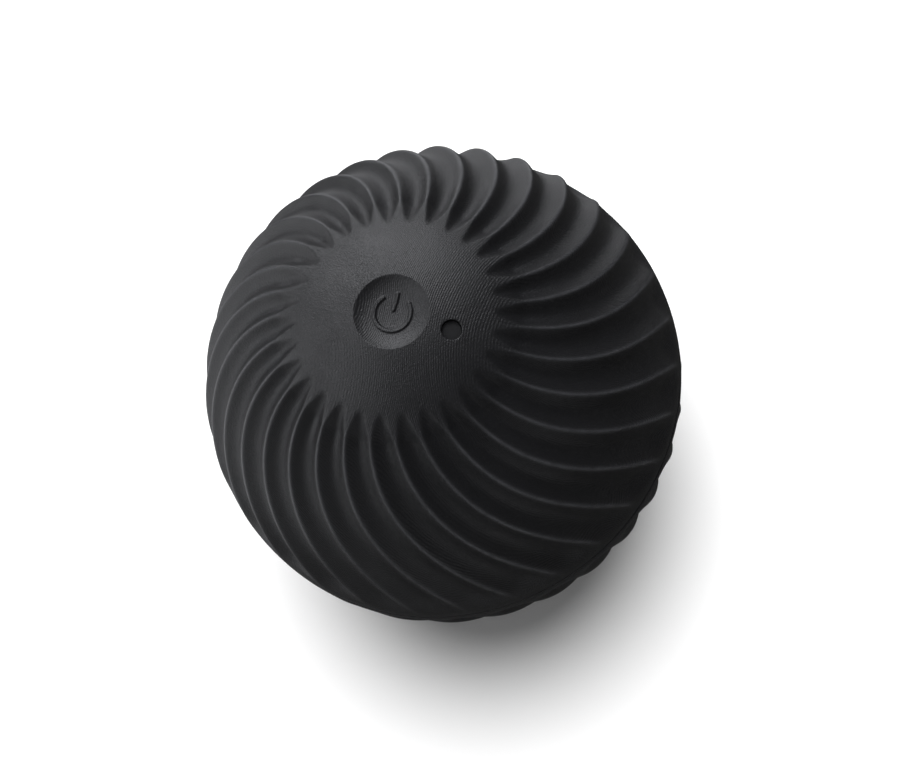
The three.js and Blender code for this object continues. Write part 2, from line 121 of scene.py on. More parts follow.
SYMBOL_RING_RADIUS = 2.95 * MM
SYMBOL_STROKE = 0.62 * MM
SYMBOL_HEIGHT = 0.27 * MM
SYMBOL_BEVEL = 0.34 * MM
SYMBOL_GAP_HALF_ANGLE = math.radians(46)
SYMBOL_BAR_FOOT = 0.6 * MM
SYMBOL_BAR_TOP = 3.15 * MM
SYMBOL_UP_ANGLE = math.radians(93.4)

WINDOW_HOLE_RADIUS = 1.62 * MM
WINDOW_LENS_RADIUS = 1.56 * MM
WINDOW_RECESS = 0.6 * MM
WINDOW_LIP = 0.12 * MM
CAD_WINDOW_RECESS = 0.4 * MM
LENS_BEVEL = 0.06 * MM
LENS_DOME = 0.03 * MM
LENS_RING_SHARES = (0.98, 0.94, 0.8, 0.6, 0.35, 0.15)
LENS_SMOOTH_ANGLE = 35
LIP_RINGS = 6
CUTTER_SIDES = 96

RECESS_LENGTH = 13 * MM
RECESS_WIDTH = 7.5 * MM
RECESS_LIP = 0.5 * MM
RECESS_LIP_RINGS = 8
RECESS_PAST_SKIN = 6 * MM
FLAT_ROUNDING_RINGS = 6
FLAT_RINGS = 10
FLAT_FIRST_RADIUS = 1 * MM
LOWER_INSIDE_TOP = math.radians(88)


# ------------------------------------------------------------------ helpers

def eased(t):
    """0 to 1 with a soft start and a soft end."""
    t = np.clip(t, 0, 1)
    return t * t * (3 - 2 * t)


def mesh_object(name, points, faces, material):
    mesh = bpy.data.meshes.new(name)
    mesh.from_pydata([tuple(point) for point in points], [], faces)
    mesh.update()
    piece = bpy.data.objects.new(name, mesh)
    bpy.context.collection.objects.link(piece)
    if material:
        mesh.materials.append(material)
    return piece


def shade_by_angle(piece, degrees):
    mesh = piece.data
    mesh.polygons.foreach_set("use_smooth", [True] * len(mesh.polygons))
    mesh.set_sharp_from_angle(angle=math.radians(degrees))


def ring_faces(first, second, count):
    """Quads between two rings of points, first and second being where each ring's numbers start."""
    return [
        (first + i, second + i, second + (i + 1) % count, first + (i + 1) % count)
        for i in range(count)
    ]


def turned_inside_out(faces):
    return [face[::-1] for face in faces]


def fan_faces(ring, middle, count, flip=False):
    faces = [(ring + i, middle, ring + (i + 1) % count) for i in range(count)]
    return turned_inside_out(faces) if flip else faces


def loft(rings, closed=False, start_point=None, end_point=None):
    """Points and faces of rings joined in order, closed into a loop or capped by end points."""
    count = len(rings[0])
    points = [point for ring in rings for point in ring]
    faces = []
    last = len(rings) - 1
    for number in range(last):
        faces += ring_faces(number * count, (number + 1) * count, count)
    if closed:
        faces += ring_faces(last * count, 0, count)
    if start_point is not None:
        points.append(start_point)
        faces += fan_faces(0, len(points) - 1, count, flip=True)
    if end_point is not None:
        points.append(end_point)
        faces += fan_faces(last * count, len(points) - 1, count)
    return points, faces


def apply_cut(piece, cutter):
    """Cuts the cutter's solid out of the piece and removes the cutter."""
    cut = piece.modifiers.new("cut", "BOOLEAN")
    cut.operation = "DIFFERENCE"
    cut.solver = "EXACT"
    cut.object = cutter
    depsgraph = bpy.context.evaluated_depsgraph_get()
    result = bpy.data.meshes.new_from_object(piece.evaluated_get(depsgraph))
    piece.modifiers.clear()
    old = piece.data
    piece.data = result
    result.name = piece.name
    bpy.data.meshes.remove(old)
    bpy.data.objects.remove(cutter)


# ------------------------------------------------------------------ rib law

def column_angles():
    """One angle for each column, crowded together at the crests of the ribs."""
    step = np.arange(COLUMNS)
    phase = (step % COLUMNS_PER_RIB) / COLUMNS_PER_RIB
    crowded = phase - CREST_CROWDING * np.sin(2 * np.pi * phase) / (2 * np.pi)
    rib = step // COLUMNS_PER_RIB
    return (rib + crowded) * 2 * np.pi / RIBS, crowded


COLUMN_ANGLE, COLUMN_PHASE = column_angles()


def flute(phase):
    """0 on a crest and 1 in the middle of a groove, with a slightly rounded crest."""
    wave = np.abs(np.sin(np.pi * phase))
    return (np.sqrt(wave ** 2 + CREST_SOFTNESS ** 2) - CREST_SOFTNESS) / (
        math.sqrt(1 + CREST_SOFTNESS ** 2) - CREST_SOFTNESS)


def rib_turn(latitude):
    """How far the ribs have turned round the axis on their way down, slowly at first and last."""
    way = np.clip((RIB_TOP_LATITUDE - latitude) / RIB_TOP_LATITUDE, 0, 1)
    return RIB_TURN * ((1 + RIB_TURN_LAG) * way ** 2 - RIB_TURN_LAG * way ** 3)


def positive_part(depth):
    """The depth where it is above 0, and about 0 where it is below, with a soft change."""
    return (depth + np.sqrt(depth ** 2 + RIB_TIP_SOFTNESS ** 2)) / 2


def groove_depth(latitude):
    """Depth of every column: the grooves start as narrow points at the cap and widen downwards."""
    way = min(max((RIB_TOP_LATITUDE - latitude) / RIB_FADE_TOP, 0), 1)
    filled = RIB_DEPTH * (1 - way)
    depth = positive_part(RIB_DEPTH * flute(COLUMN_PHASE) - filled) - positive_part(-filled)
    end = eased((latitude - RIB_END_LATITUDE) / RIB_FADE_END)
    started = eased((RIB_TOP_LATITUDE - latitude) / (RIB_FADE_TOP / 4))
    return depth * end * started


def mark_crests(piece, turned=None):
    """Gives each point how far it is on a crest, 1 on the crest line, for the painted highlight along
    the crests and their lower roughness.
    """
    count = len(piece.data.vertices)
    place = np.empty(count * 3)
    piece.data.vertices.foreach_get("co", place)
    place = place.reshape(count, 3) - np.array(CENTRE)
    if turned:
        place = place @ np.array(turned)
    distance = np.linalg.norm(place, axis=1)
    latitude = np.arcsin(place[:, 2] / distance)
    angle = np.arctan2(place[:, 1], place[:, 0]) - rib_turn(latitude)
    phase = angle * RIBS / (2 * np.pi)
    crest = (1 - flute(phase)) ** CREST_NARROWNESS
    top = eased((RIB_TOP_LATITUDE - latitude) / (2 * RIB_FADE_TOP))
    end = eased((latitude - RIB_END_LATITUDE) / RIB_FADE_END)
    outside = distance > BALL_RADIUS - RIB_DEPTH / 2
    mark = piece.data.attributes.new(CREST_MARK, "FLOAT", "POINT")
    mark.data.foreach_set("value", (crest * top * end * outside).astype(np.float32))


# ------------------------------------------------------------------ rings of the covers

def ribbed_ring(latitude):
    radius = BALL_RADIUS - groove_depth(latitude)
    angle = COLUMN_ANGLE + rib_turn(latitude)
    across = radius * math.cos(latitude)
    height = radius * math.sin(latitude)
    return np.stack([across * np.cos(angle), across * np.sin(angle), height], axis=1)


def plain_ring(across, height, latitude=None):
    """A round ring whose columns carry on from the ribs at that latitude."""
    angle = COLUMN_ANGLE + rib_turn(latitude if latitude is not None else math.pi / 2)
    return np.stack([across * np.cos(angle), across * np.sin(angle),
                     np.full(COLUMNS, height)], axis=1)


def outer_rings(top_latitude):
    """The ribbed outside from the top latitude down to the start of the rounded seam edge."""
    cap = np.linspace(top_latitude, RIB_TOP_LATITUDE, CAP_RINGS)[:-1]
    low = math.asin((SEAM_HALF + SEAM_ROUNDING) / BALL_RADIUS)
    ribs = np.linspace(RIB_TOP_LATITUDE, low, RIB_RINGS)
    return [ribbed_ring(latitude) for latitude in [*cap, *ribs]]


def seam_rings():
    """The rounded edge at the seam and the flat seam face."""
    rings = []
    for quarter in np.linspace(0, math.pi / 2, EDGE_RINGS)[1:]:
        across = BALL_RADIUS - SEAM_ROUNDING * (1 - math.cos(quarter))
        height = SEAM_HALF + SEAM_ROUNDING * (1 - math.sin(quarter))
        rings.append(plain_ring(across, height, 0))
    middle = (BALL_RADIUS + SKIN_INSIDE_RADIUS) / 2
    rings.append(plain_ring(middle, SEAM_HALF, 0))
    return rings


def inner_rings(top_latitude):
    """The plain inside of a cover, from the seam up."""
    low = math.asin(SEAM_HALF / SKIN_INSIDE_RADIUS)
    rings = []
    for latitude in np.linspace(low, top_latitude, INNER_RINGS):
        across = SKIN_INSIDE_RADIUS * math.cos(latitude)
        height = SKIN_INSIDE_RADIUS * math.sin(latitude)
        rings.append(plain_ring(across, height, latitude))
    return rings


def placed(points):
    """Points given from the ball's centre, in the row frame."""
    return [Vector(point) + CENTRE for point in points]


# ------------------------------------------------------------------ window

window_middle = (window_low + window_high) / 2
WINDOW_DIRECTION = (window_middle - CENTRE).normalized()
WINDOW_TOP = BALL_RADIUS - WINDOW_RECESS
CAD_WINDOW_TOP = BALL_RADIUS - CAD_WINDOW_RECESS
WINDOW_FOOT = 2 * (window_middle - CENTRE).length - CAD_WINDOW_TOP


def window_ring(radius, along):
    """A circle of points round the window's line, that far from the ball's centre."""
    turn = WINDOW_DIRECTION.to_track_quat("Z", "X").to_matrix()
    angles = np.arange(CUTTER_SIDES) * 2 * np.pi / CUTTER_SIDES
    return [CENTRE + turn @ Vector((radius * math.cos(a), radius * math.sin(a), along))
            for a in angles]


def window_point(along):
    return CENTRE + WINDOW_DIRECTION * along


def lip_offset(depth, rounding):
    """How far a rounded mouth stands out from its wall at that depth under the surface."""
    up = min(max(rounding - depth, 0), rounding)
    return rounding - math.sqrt(rounding ** 2 - up ** 2)


def window_cutter():
    """The window's hole through the cover, with a rounded mouth."""
    surface = math.sqrt(BALL_RADIUS ** 2 - WINDOW_HOLE_RADIUS ** 2)
    inside = SKIN_INSIDE_RADIUS - CUT_OVERSHOOT
    outside = BALL_RADIUS + CUT_OVERSHOOT
    rings = [window_ring(WINDOW_HOLE_RADIUS, inside)]
    for depth in np.linspace(WINDOW_LIP, 0, LIP_RINGS):
        radius = WINDOW_HOLE_RADIUS + lip_offset(depth, WINDOW_LIP)
        rings.append(window_ring(radius, surface - depth))
    rings.append(window_ring(WINDOW_HOLE_RADIUS + WINDOW_LIP, outside))
    points, faces = loft(rings, start_point=window_point(inside), end_point=window_point(outside))
    return mesh_object("window_cutter", points, turned_inside_out(faces), None)


def make_window_lens(material):
    """The window's light guide, with a nearly flat matt top and a small bevel round it."""
    rings = [window_ring(WINDOW_LENS_RADIUS, WINDOW_FOOT)]
    rings.append(window_ring(WINDOW_LENS_RADIUS, WINDOW_TOP - LENS_BEVEL))
    for share in LENS_RING_SHARES:
        dome = LENS_DOME * (1 - share ** 2)
        rings.append(window_ring(WINDOW_LENS_RADIUS * share, WINDOW_TOP - LENS_DOME + dome))
    points, faces = loft(rings, start_point=window_point(WINDOW_FOOT),
                         end_point=window_point(WINDOW_TOP))
    lens = mesh_object("window_lens", points, turned_inside_out(faces), material)
    shade_by_angle(lens, LENS_SMOOTH_ANGLE)
    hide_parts("led_window")
    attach(lens, "housing")


# ------------------------------------------------------------------ upper skin

def make_upper_skin(material):
    """The ribbed upper cover, with the dish's round mouth and the window's hole."""
    rim_latitude = math.acos(DISH_EDGE_RADIUS / BALL_RADIUS)
    inside_rim = math.acos(DISH_EDGE_RADIUS / SKIN_INSIDE_RADIUS)
    rings = outer_rings(rim_latitude) + seam_rings() + inner_rings(inside_rim)
    bottom, top = rings[-1][0][2], rings[0][0][2]
    for height in np.linspace(bottom, top, MOUTH_RINGS)[1:-1]:
        rings.append(plain_ring(DISH_EDGE_RADIUS, height))
    points, faces = loft([placed(ring) for ring in rings], closed=True)
    skin = mesh_object("upper_skin", points, faces, material)
    apply_cut(skin, window_cutter())
    mark_crests(skin)
    shade_by_angle(skin, SKIN_SMOOTH_ANGLE)
    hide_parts("upper_cover")
    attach(skin, "housing")


# ------------------------------------------------------------------ lower skin

UNDER = Matrix.Rotation(2 * RIB_TURN, 3, "Z") @ Matrix.Rotation(math.pi, 3, "X")


def turned_over(ring):
    """A ring of the upper half, turned under the seam so that the ribs of both halves meet."""
    return [UNDER @ Vector(point) for point in ring]


def flat_rings():
    """The rounded edge of the flat and the flat itself, drawn as if it were on top."""
    lift = FLAT_DEPTH - FLAT_ROUNDING
    middle = math.sqrt((BALL_RADIUS - FLAT_ROUNDING) ** 2 - lift ** 2)
    start = math.atan2(lift, middle)
    rings = []
    for angle in np.linspace(math.pi / 2, start, FLAT_ROUNDING_RINGS):
        across = middle + FLAT_ROUNDING * math.cos(angle)
        height = lift + FLAT_ROUNDING * math.sin(angle)
        rings.append(plain_ring(across, height))
    plane = [plain_ring(across, FLAT_DEPTH)
             for across in np.linspace(FLAT_FIRST_RADIUS, middle, FLAT_RINGS)[:-1]]
    return plane + rings, start


def recess_ring(offset, height):
    """A stadium outline, longer along X, standing out by the offset."""
    radius = RECESS_WIDTH / 2 + offset
    reach = (RECESS_LENGTH - RECESS_WIDTH) / 2
    points = []
    for number in range(CUTTER_SIDES):
        angle = 2 * math.pi * (number + 0.5) / CUTTER_SIDES
        side = math.copysign(reach, math.cos(angle))
        points.append(Vector((side + radius * math.cos(angle), radius * math.sin(angle), height)))
    return points


def recess_cutter():
    """The charging recess through the lower cover, with a rounded mouth."""
    inside = CENTRE.z - SKIN_INSIDE_RADIUS + RECESS_PAST_SKIN
    rings = [recess_ring(RECESS_LIP, -CUT_OVERSHOOT)]
    for depth in np.linspace(0, RECESS_LIP, RECESS_LIP_RINGS):
        rings.append(recess_ring(lip_offset(depth, RECESS_LIP), depth))
    rings.append(recess_ring(0, inside))
    points, faces = loft(rings, start_point=Vector((0, 0, -CUT_OVERSHOOT)),
                         end_point=Vector((0, 0, inside)))
    return mesh_object("recess_cutter", points, turned_inside_out(faces), None)


def make_lower_skin(material):
    """The ribbed lower cover, with the flat and the charging recess."""
    flat, flat_latitude = flat_rings()
    rings = flat + outer_rings(flat_latitude)[1:] + seam_rings() + inner_rings(LOWER_INSIDE_TOP)
    under = [[Vector(point) + CENTRE for point in turned_over(ring)] for ring in rings]
    points, faces = loft(under, start_point=Vector((0, 0, CENTRE.z - FLAT_DEPTH)),
                         end_point=Vector((0, 0, CENTRE.z - SKIN_INSIDE_RADIUS)))
    skin = mesh_object("lower_skin", points, faces, material)
    apply_cut(skin, recess_cutter())
    mark_crests(skin, turned=UNDER)
    shade_by_angle(skin, SKIN_SMOOTH_ANGLE)
    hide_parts("lower_cover")
    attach(skin, "housing")


# ------------------------------------------------------------------ finger dish with the symbol

def distance_to_bar(x, y):
    along = np.clip(y, SYMBOL_BAR_FOOT, SYMBOL_BAR_TOP)
    return np.hypot(x, y - along)


def distance_to_ring(x, y):
    """Distance to the middle line of the ring, which is open round the symbol's up direction."""
    from_up = np.abs(np.arctan2(x, y))
    on_ring = np.abs(np.hypot(x, y) - SYMBOL_RING_RADIUS)
    end_x = SYMBOL_RING_RADIUS * math.sin(SYMBOL_GAP_HALF_ANGLE)
    end_y = SYMBOL_RING_RADIUS * math.cos(SYMBOL_GAP_HALF_ANGLE)
    to_end = np.hypot(np.abs(x) - end_x, y - end_y)
    return np.where(from_up >= SYMBOL_GAP_HALF_ANGLE, on_ring, to_end)


def symbol_height(radius):
    """How far the raised power symbol stands up from the dish along a circle."""
    angle = COLUMN_ANGLE - SYMBOL_UP_ANGLE + math.pi / 2
    x, y = radius * np.cos(angle), radius * np.sin(angle)
    distance = np.minimum(distance_to_bar(x, y), distance_to_ring(x, y))
    edge = SYMBOL_STROKE / 2 - SYMBOL_BEVEL / 2
    return SYMBOL_HEIGHT * (1 - eased((distance - edge) / SYMBOL_BEVEL))


DISH_FLOOR = pad_low.z - CENTRE.z + PAD_THICKNESS
DISH_LIP_HEIGHT = math.sqrt(BALL_RADIUS ** 2 - DISH_LIP_RADIUS ** 2)


def dish_height(radius):
    """Height above the ball's centre: a round bowl that meets the ball in a soft lip."""
    ball = math.sqrt(BALL_RADIUS ** 2 - radius ** 2)
    out = min(1.0, radius / DISH_LIP_RADIUS)
    bowl = DISH_FLOOR + (DISH_LIP_HEIGHT - DISH_FLOOR) * (
        DISH_BOWL_SHARE * out ** 2 + (1 - DISH_BOWL_SHARE) * out ** 6)
    below_ball = max(0.0, ball - bowl)
    return ball - below_ball ** 2 / (below_ball + LIP_SOFTNESS) if below_ball else ball


def dish_radii():
    """Circles of the dish from its edge to its middle, close together where the symbol is."""
    ring_in = SYMBOL_RING_RADIUS - SYMBOL_STROKE
    ring_out = SYMBOL_RING_RADIUS + SYMBOL_STROKE
    stretches = [
        np.linspace(DISH_EDGE_RADIUS, ring_out, DISH_BOWL_RINGS)[:-1],
        np.linspace(ring_out, ring_in, DISH_SYMBOL_RINGS)[:-1],
        np.linspace(ring_in, DISH_MIDDLE_RADIUS, DISH_MIDDLE_RINGS),
    ]
    return np.concatenate(stretches)


def make_dish(material):
    """The finger dish with the raised symbol."""
    rings = []
    for radius in dish_radii():
        ring = plain_ring(radius, dish_height(radius))
        ring[:, 2] += symbol_height(radius)
        rings.append(ring)
    foot = DISH_FLOOR - PAD_THICKNESS
    side = DISH_EDGE_RADIUS - DISH_SIDE_DRAFT
    under = [plain_ring(radius, foot)
             for radius in np.linspace(DISH_UNDER_RADIUS, side, DISH_UNDER_RINGS)]
    top = placed([(0, 0, DISH_FLOOR)])[0]
    bottom = placed([(0, 0, foot)])[0]
    wall = [plain_ring(side + DISH_SIDE_DRAFT * share, foot + (rings[0][0][2] - foot) * share)
            for share in DISH_WALL_SHARES]
    order = [*under, *wall, *rings]
    points, faces = loft([placed(ring) for ring in order], start_point=bottom, end_point=top)
    dish = mesh_object("button_dish", points, turned_inside_out(faces), material)
    shade_by_angle(dish, DISH_SMOOTH_ANGLE)
    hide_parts("button_pad")
    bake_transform(dish)


# ------------------------------------------------------------------ materials

NOISE_LOW = 0.3
NOISE_HIGH = 0.7


class Finish:
    """A node material round one Principled shader, with short calls for what the finishes share."""

    def __init__(self, name, colour, roughness, metallic=0.0):
        self.material = bpy.data.materials.new(name)
        self.material.use_nodes = True
        self.tree = self.material.node_tree
        self.tree.nodes.clear()
        self.shader = self.node("ShaderNodeBsdfPrincipled")
        output = self.node("ShaderNodeOutputMaterial")
        self.join(self.shader.outputs["BSDF"], output.inputs["Surface"])
        self.colour = colour
        self.set("Base Color", (*colour, 1))
        self.set("Roughness", roughness)
        self.set("Metallic", metallic)
        self.place = self.node("ShaderNodeTexCoord").outputs["Object"]
        self.relief = None

    def node(self, kind, **values):
        made = self.tree.nodes.new(kind)
        for name, value in values.items():
            setattr(made, name, value)
        return made

    def join(self, output, target):
        self.tree.links.new(output, target)

    def set(self, socket, value):
        self.shader.inputs[socket].default_value = value

    def noise(self, size, detail=3.0, roughness=0.5, place=None):
        """A noise pattern whose blobs are about that size across."""
        made = self.node("ShaderNodeTexNoise")
        made.inputs["Scale"].default_value = 1 / size
        made.inputs["Detail"].default_value = detail
        made.inputs["Roughness"].default_value = roughness
        self.join(place or self.place, made.inputs["Vector"])
        return made.outputs["Fac"]

    def stretched(self, x, y, z):
        """The place with each axis multiplied, for patterns drawn out along an axis."""
        made = self.node("ShaderNodeVectorMath", operation="MULTIPLY")
        made.inputs[1].default_value = (x, y, z)
        self.join(self.place, made.inputs[0])
        return made.outputs["Vector"]

    def math(self, operation, first, second=0.0):
        made = self.node("ShaderNodeMath", operation=operation)
        for socket, value in zip(made.inputs, (first, second)):
            if isinstance(value, (int, float)):
                socket.default_value = value
            else:
                self.join(value, socket)
        return made.outputs[0]

    def spread(self, value, low, high):
        """A noise value stretched from its usual reach to low..high."""
        made = self.node("ShaderNodeMapRange")
        for socket, number in zip(("From Min", "From Max", "To Min", "To Max"),
                                  (NOISE_LOW, NOISE_HIGH, low, high)):
            made.inputs[socket].default_value = number
        self.join(value, made.inputs["Value"])
        return made.outputs["Result"]

    def vary_colour(self, value, dark, light):
        """The base colour goes from dark to light times the finish's colour."""
        ramp = self.node("ShaderNodeValToRGB")
        ramp.color_ramp.elements[0].position = NOISE_LOW
        ramp.color_ramp.elements[1].position = NOISE_HIGH
        ramp.color_ramp.elements[0].color = (*[c * dark for c in self.colour], 1)
        ramp.color_ramp.elements[1].color = (*[min(1, c * light) for c in self.colour], 1)
        self.join(value, ramp.inputs["Fac"])
        self.join(ramp.outputs["Color"], self.shader.inputs["Base Color"])

    def paler(self, value, colour):
        """The base colour turns to that colour where the value is 1."""
        mixed = self.node("ShaderNodeMix", data_type="RGBA")
        enabled = {socket.name: socket for socket in mixed.inputs if socket.enabled}
        base = self.shader.inputs["Base Color"]
        self.join(value, enabled["Factor"])
        self.join(base.links[0].from_socket, enabled["A"])
        enabled["B"].default_value = (*colour, 1)
        self.join([socket for socket in mixed.outputs if socket.enabled][0], base)

    def vary_roughness(self, value, low, high):
        self.join(self.spread(value, low, high), self.shader.inputs["Roughness"])

    def bump(self, value, height):
        """One layer of fine relief of that height; layers add up."""
        made = self.node("ShaderNodeBump")
        made.inputs["Distance"].default_value = height
        self.join(value, made.inputs["Height"])
        if self.relief:
            self.join(self.relief, made.inputs["Normal"])
        self.relief = made.outputs["Normal"]
        self.join(self.relief, self.shader.inputs["Normal"])


LAYER_DIRECTION = (0.733, 0.085, 0.676)
LAYER_STEP = 0.22 * MM
LAYER_WANDER = 0.25 * MM
LAYER_HEIGHT = 0.015 * MM

SILICONE_COLOUR = (0.0050, 0.0051, 0.0058)
SILICONE_IOR = 1.41
SILICONE_GRAIN = 0.3 * MM
SILICONE_GRAIN_HEIGHT = 0.09 * MM
# Paler base colour painted along the rib crests as a highlight
PAINTED_CREST_HIGHLIGHT_COLOUR = (0.029, 0.0295, 0.033)
# How much less rough the crests are
CREST_ROUGHNESS_DROP = 0.14


def layer_lines(finish):
    """Fine parallel lines left by the mould, like the height lines of a map."""
    along = finish.node("ShaderNodeVectorMath", operation="DOT_PRODUCT")
    along.inputs[1].default_value = LAYER_DIRECTION
    finish.join(finish.place, along.inputs[0])
    wander = finish.math("MULTIPLY", finish.noise(6 * MM, 1), LAYER_WANDER)
    distance = finish.math("ADD", along.outputs["Value"], wander)
    phase = finish.math("MULTIPLY", distance, 2 * math.pi / LAYER_STEP)
    clearness = finish.spread(finish.noise(7 * MM, 2), 0.45, 1)
    return finish.math("MULTIPLY", finish.math("SINE", phase), clearness)


def silicone():
    """Matt black silicone: a cloudy tone, mould lines, fine grain, and a painted highlight along the
    crests, which are also less rough.
    """
    finish = Finish("silicone_black", SILICONE_COLOUR, 0.45)
    finish.set("IOR", SILICONE_IOR)
    cloud = finish.noise(9 * MM, 4, 0.6)
    crest_highlight = finish.node("ShaderNodeAttribute", attribute_name=CREST_MARK).outputs["Fac"]
    uneven = finish.spread(finish.noise(1.5 * MM, 3), 0.6, 1)
    painted_crest_highlight = finish.math("MULTIPLY", crest_highlight, uneven)
    finish.vary_colour(cloud, 0.9, 1.1)
    # Painted highlight: the base colour turns paler along the crest lines
    finish.paler(painted_crest_highlight, PAINTED_CREST_HIGHLIGHT_COLOUR)
    matt = finish.spread(cloud, 0.42, 0.48)
    finish.join(finish.math("SUBTRACT", matt, finish.math("MULTIPLY", painted_crest_highlight, CREST_ROUGHNESS_DROP)),
                finish.shader.inputs["Roughness"])
    finish.bump(layer_lines(finish), LAYER_HEIGHT)
    finish.bump(finish.noise(SILICONE_GRAIN, 2, 0.6), SILICONE_GRAIN_HEIGHT)
    return finish.material


def plastic(name, colour, roughness, grain_height=0.01):
    """Moulded plastic: fine spark texture and a faint change of tone."""
    finish = Finish(name, colour, roughness)
    cloud = finish.noise(6 * MM, 3)
    finish.vary_colour(cloud, 0.93, 1.05)
    finish.vary_roughness(cloud, roughness * 0.88, roughness * 1.12)
    finish.bump(finish.noise(0.3 * MM, 2), grain_height * MM)
    return finish.material


def window_plastic():
    """The window's smoked lens, matt so that it stays dark."""
    finish = Finish("window_plastic", (0.003, 0.0031, 0.0036), 0.55)
    finish.set("Specular IOR Level", 0.36)
    finish.vary_colour(finish.noise(0.8 * MM, 2), 0.8, 1.3)
    finish.vary_roughness(finish.noise(0.5 * MM, 2), 0.52, 0.58)
    finish.bump(finish.noise(0.2 * MM, 2), 0.006 * MM)
    return finish.material


def turned_metal(name, colour, roughness):
    """Metal with fine lathe marks round the X axis, lightly worn."""
    finish = Finish(name, colour, roughness, metallic=1.0)
    marks = finish.noise(0.2 * MM, 3, 0.6, finish.stretched(1, 0.08, 0.08))
    wear = finish.noise(3 * MM, 4)
    finish.vary_colour(wear, 0.85, 1.08)
    finish.vary_roughness(marks, roughness * 0.75, roughness * 1.3)
    finish.bump(marks, 0.006 * MM)
    return finish.material


def sintered(name, colour):
    """Pressed and fired magnet material with fine pits."""
    finish = Finish(name, colour, 0.6, metallic=0.4)
    pits = finish.noise(0.35 * MM, 4, 0.7)
    finish.vary_colour(pits, 0.7, 1.3)
    finish.vary_roughness(pits, 0.5, 0.75)
    finish.bump(pits, 0.03 * MM)
    return finish.material


def circuit_board():
    """Solder mask with copper tracks showing faintly under it."""
    finish = Finish("circuit_board", (0.01, 0.07, 0.03), 0.35)
    track = finish.node("ShaderNodeTexBrick", offset=0.3)
    track.inputs["Scale"].default_value = 1 / (2.2 * MM)
    track.inputs["Mortar Size"].default_value = 0.04
    finish.join(finish.place, track.inputs["Vector"])
    finish.vary_colour(track.outputs["Fac"], 1.0, 1.9)
    finish.vary_roughness(finish.noise(2 * MM, 2), 0.28, 0.42)
    finish.bump(track.outputs["Fac"], 0.02 * MM)
    return finish.material


def cell_wrap():
    """The creased film round a battery cell."""
    finish = Finish("cell_wrap", (0.35, 0.46, 0.55), 0.3)
    crease = finish.noise(3 * MM, 5, 0.65, finish.stretched(0.4, 1, 1))
    finish.vary_colour(crease, 0.9, 1.06)
    finish.vary_roughness(crease, 0.22, 0.42)
    finish.bump(crease, 0.12 * MM)
    return finish.material


def foam():
    """Dark open-cell foam."""
    finish = Finish("foam", (0.02, 0.02, 0.023), 0.95)
    cells = finish.node("ShaderNodeTexVoronoi")
    cells.inputs["Scale"].default_value = 1 / (0.6 * MM)
    finish.join(finish.place, cells.inputs["Vector"])
    finish.vary_colour(cells.outputs["Distance"], 1.6, 0.5)
    finish.bump(cells.outputs["Distance"], 0.2 * MM)
    return finish.material


def rubber(name, colour):
    """Matt coloured rubber."""
    finish = Finish(name, colour, 0.65)
    finish.vary_colour(finish.noise(4 * MM, 3), 0.9, 1.08)
    finish.bump(finish.noise(0.3 * MM, 3), 0.015 * MM)
    return finish.material


def make_finishes():
    """One material for each of the record's slots."""
    return {
        "silicone_black": silicone(),
        "shell_plastic": plastic("shell_plastic", (0.03, 0.032, 0.037), 0.55, 0.02),
        "white_plastic": plastic("white_plastic", (0.68, 0.68, 0.65), 0.4),
        "black_plastic": plastic("black_plastic", (0.012, 0.012, 0.014), 0.35),
        "window_plastic": window_plastic(),
        "circuit_board": circuit_board(),
        "steel": turned_metal("steel", (0.4, 0.42, 0.45), 0.3),
        "motor_steel": turned_metal("motor_steel", (0.5, 0.51, 0.53), 0.25),
        "magnet": sintered("magnet", (0.05, 0.05, 0.053)),
        "brass": turned_metal("brass", (0.45, 0.28, 0.08), 0.3),
        "copper": turned_metal("copper", (0.5, 0.18, 0.08), 0.3),
        "cell_wrap": cell_wrap(),
        "foam": foam(),
        "seal_rubber": rubber("seal_rubber", (0.26, 0.05, 0.03)),
        "lead_red": plastic("lead_red", (0.37, 0.012, 0.012), 0.45),
        "lead_black": plastic("lead_black", (0.01, 0.01, 0.01), 0.45),
    }


def finish_cad_nodes(finishes):
    """Every CAD node that stays in view gets its slot's material."""
    for part in frame["record"]["subparts"]:
        node = frame["nodes"][part["node"]]
        node.data.materials.clear()
        node.data.materials.append(finishes[part["material_slot"]])


# ------------------------------------------------------------------ camera, light and floor

VIEW_AZIMUTH = math.radians(53.3)
VIEW_ELEVATION = math.radians(69.4)
VIEW_ROLL = math.radians(-35.6)
VIEW_DISTANCE = 12 * BALL_RADIUS
LENS_MM = 114.1
BALL_OFF_MIDDLE = (-1.04 * MM, -0.12 * MM)
BACKDROP_BRIGHTNESS = 1.05
FILL_BRIGHTNESS = 0.225
SHEEN_FILL_BRIGHTNESS = 0.085
KEY_DIRECTION = (-0.146, 0.366, 0.919)
KEY_ANGLE = 65
KEY_BRIGHTNESS = 1.67
SHEEN_COLOUR = (0.95, 0.96, 1)
# Name, direction along the camera's right, up and back, angle in degrees, brightness
SHEEN_LAMPS = (
    ("upper_left_sheen", (-0.4, 0.87, 0.27), 48, 1.14),
    ("left_sheen", (-0.92, 0.05, 0.38), 46, 0.56),
    ("lower_left_sheen", (-0.79, -0.6, -0.08), 50, 0.19),
    ("upper_back_sheen", (-0.1, 0.7, -0.7), 50, 0.15),
    ("left_back_sheen", (-0.75, -0.1, -0.65), 50, 0.2),
    ("lower_sheen", (0.21, -0.95, 0.2), 50, 0.1),
)
FLOOR_HALF = 40.0


